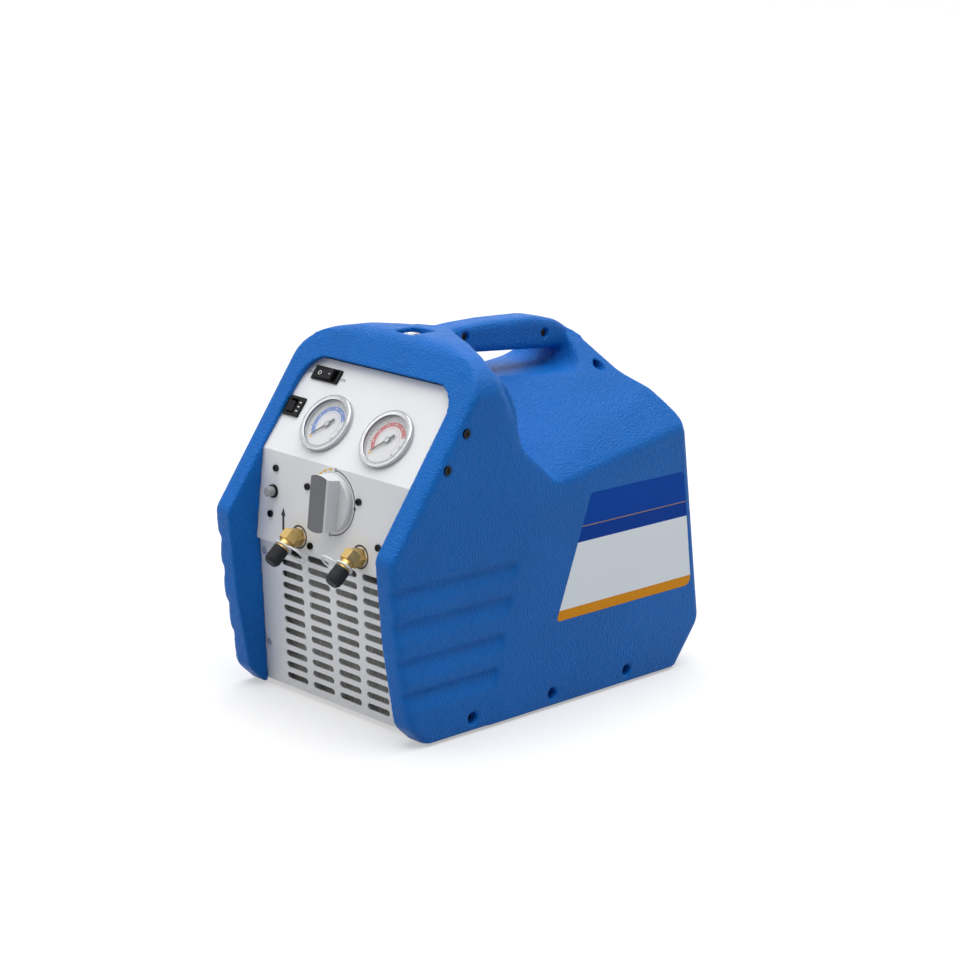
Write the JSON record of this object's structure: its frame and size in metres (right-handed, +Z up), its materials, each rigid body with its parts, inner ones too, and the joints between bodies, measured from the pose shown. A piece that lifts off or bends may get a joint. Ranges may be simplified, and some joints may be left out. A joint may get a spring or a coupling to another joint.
{
  "type": "refrigerant recovery machine",
  "caption": "Portable refrigerant recovery machine: moulded housing with integral handle, sloping panel with gauges, selector knob and capped ports over a slotted air grille",
  "frame": {"origin": "middle of the footprint, on the floor under the feet", "axes": "X across, +X to the right of someone who faces the control panel; the panel looks along -Y, the rear along +Y; Z up"},
  "size_m": [0.25, 0.4262, 0.353],
  "materials": {
    "housing": "fine-grained moulded plastic",
    "label": "printed film in plain bands",
    "panel": "smooth white powder coat",
    "black_plastic": "matt black moulding",
    "grey_plastic": "satin grey moulding",
    "white_plastic": "plain white",
    "needle": "black paint",
    "lens": "clear window",
    "chrome": "bright plated",
    "steel": "zinc plated",
    "black_steel": "black oxide",
    "rubber": "moulded rubber",
    "aluminium": "as cast or rolled",
    "motor_paint": "black enamel",
    "brass": "machined brass",
    "copper": "drawn copper"
  },
  "bodies": {
    "machine": {"casing_left": "housing", "casing_right": "housing", "side_label": "label", "join_screws": "black_steel", "casing_screws": "black_steel", "base_plate": "steel", "feet": "rubber", "front_panel": "panel", "grille_panel": "panel", "panel_screws": "black_steel", "grille_screws": "steel", "switch_body": "black_plastic", "breaker_body": "black_plastic", "pressure_switch": "black_plastic", "gauge_case_low": "grey_plastic", "gauge_bezel_low": "chrome", "gauge_dial_low": "white_plastic", "gauge_lens_low": "lens", "gauge_case_high": "grey_plastic", "gauge_bezel_high": "chrome", "gauge_dial_high": "white_plastic", "gauge_lens_high": "lens", "valve_block": "aluminium", "inlet_fitting": "brass", "outlet_fitting": "brass", "inlet_tether": "white_plastic", "outlet_tether": "white_plastic", "ring_clip": "steel", "condenser_fins": "aluminium", "condenser_tubes": "copper", "condenser_plates": "steel", "fan_frame": "black_plastic", "crankcase": "aluminium", "cylinder_heads": "aluminium", "compressor_motor": "motor_paint", "mount_plate": "steel", "rubber_mounts": "rubber", "capacitor": "white_plastic", "suction_pipe": "copper", "discharge_pipe": "copper", "liquid_pipe": "copper", "rear_panel": "panel", "rear_screws": "black_steel", "mains_inlet": "black_plastic"},
    "knob": {"selector_knob": "grey_plastic", "valve_stem": "steel"},
    "power_rocker": {"switch_rocker": "black_plastic"},
    "breaker_rocker": {"breaker_rocker": "black_plastic"},
    "reset_button": {"reset_button": "grey_plastic"},
    "low_needle": {"gauge_needle_low": "needle"},
    "high_needle": {"gauge_needle_high": "needle"},
    "inlet_cap": {"inlet_cap": "black_plastic"},
    "outlet_cap": {"outlet_cap": "black_plastic"},
    "strap_ring": {"strap_ring": "chrome"},
    "fan": {"fan_rotor": "black_plastic"}
  },
  "joints": [
    {"name": "selector_turn", "type": "hinge", "parent": "machine", "child": "knob", "pos_m": [0, -0.17211, 0.2028], "axis": [0, 0.9969, -0.0785], "range_deg": [0, 270]},
    {"name": "power_rock", "type": "hinge", "parent": "machine", "child": "power_rocker", "pos_m": [-0.07, -0.11629, 0.30046], "axis": [0, 0.6018, 0.7986], "range_deg": [0, 16]},
    {"name": "breaker_rock", "type": "hinge", "parent": "machine", "child": "breaker_rocker", "pos_m": [-0.0915, -0.13922, 0.27003], "axis": [-1, 0, 0], "range_deg": [0, 16]},
    {"name": "reset_press", "type": "slide", "parent": "machine", "child": "reset_button", "axis": [0, 0.9969, -0.0785], "range_m": [0, 0.003], "stiffness_N_per_m": 300, "springref_m": -0.001},
    {"name": "low_needle_sweep", "type": "hinge", "parent": "machine", "child": "low_needle", "pos_m": [-0.037, -0.14673, 0.26505], "axis": [0, 0.7986, -0.6018], "range_deg": [0, 270], "stiffness_Nm_per_rad": 0.0005},
    {"name": "high_needle_sweep", "type": "hinge", "parent": "machine", "child": "high_needle", "pos_m": [0.044, -0.14673, 0.26505], "axis": [0, 0.7986, -0.6018], "range_deg": [0, 270], "stiffness_Nm_per_rad": 0.0005},
    {"name": "inlet_cap_off", "type": "slide", "parent": "machine", "child": "inlet_cap", "axis": [0, -0.7604, -0.6494], "range_m": [0, 0.03]},
    {"name": "outlet_cap_off", "type": "slide", "parent": "machine", "child": "outlet_cap", "axis": [0, -0.7604, -0.6494], "range_m": [0, 0.03]},
    {"name": "ring_swing", "type": "hinge", "parent": "machine", "child": "strap_ring", "pos_m": [0, -0.081, 0.3455], "axis": [1, 0, 0], "range_deg": [0, 85]},
    {"name": "fan_spin", "type": "hinge", "parent": "machine", "child": "fan", "pos_m": [0, -0.1278, 0.066], "axis": [0, 1, 0], "continuous": true}
  ]
}
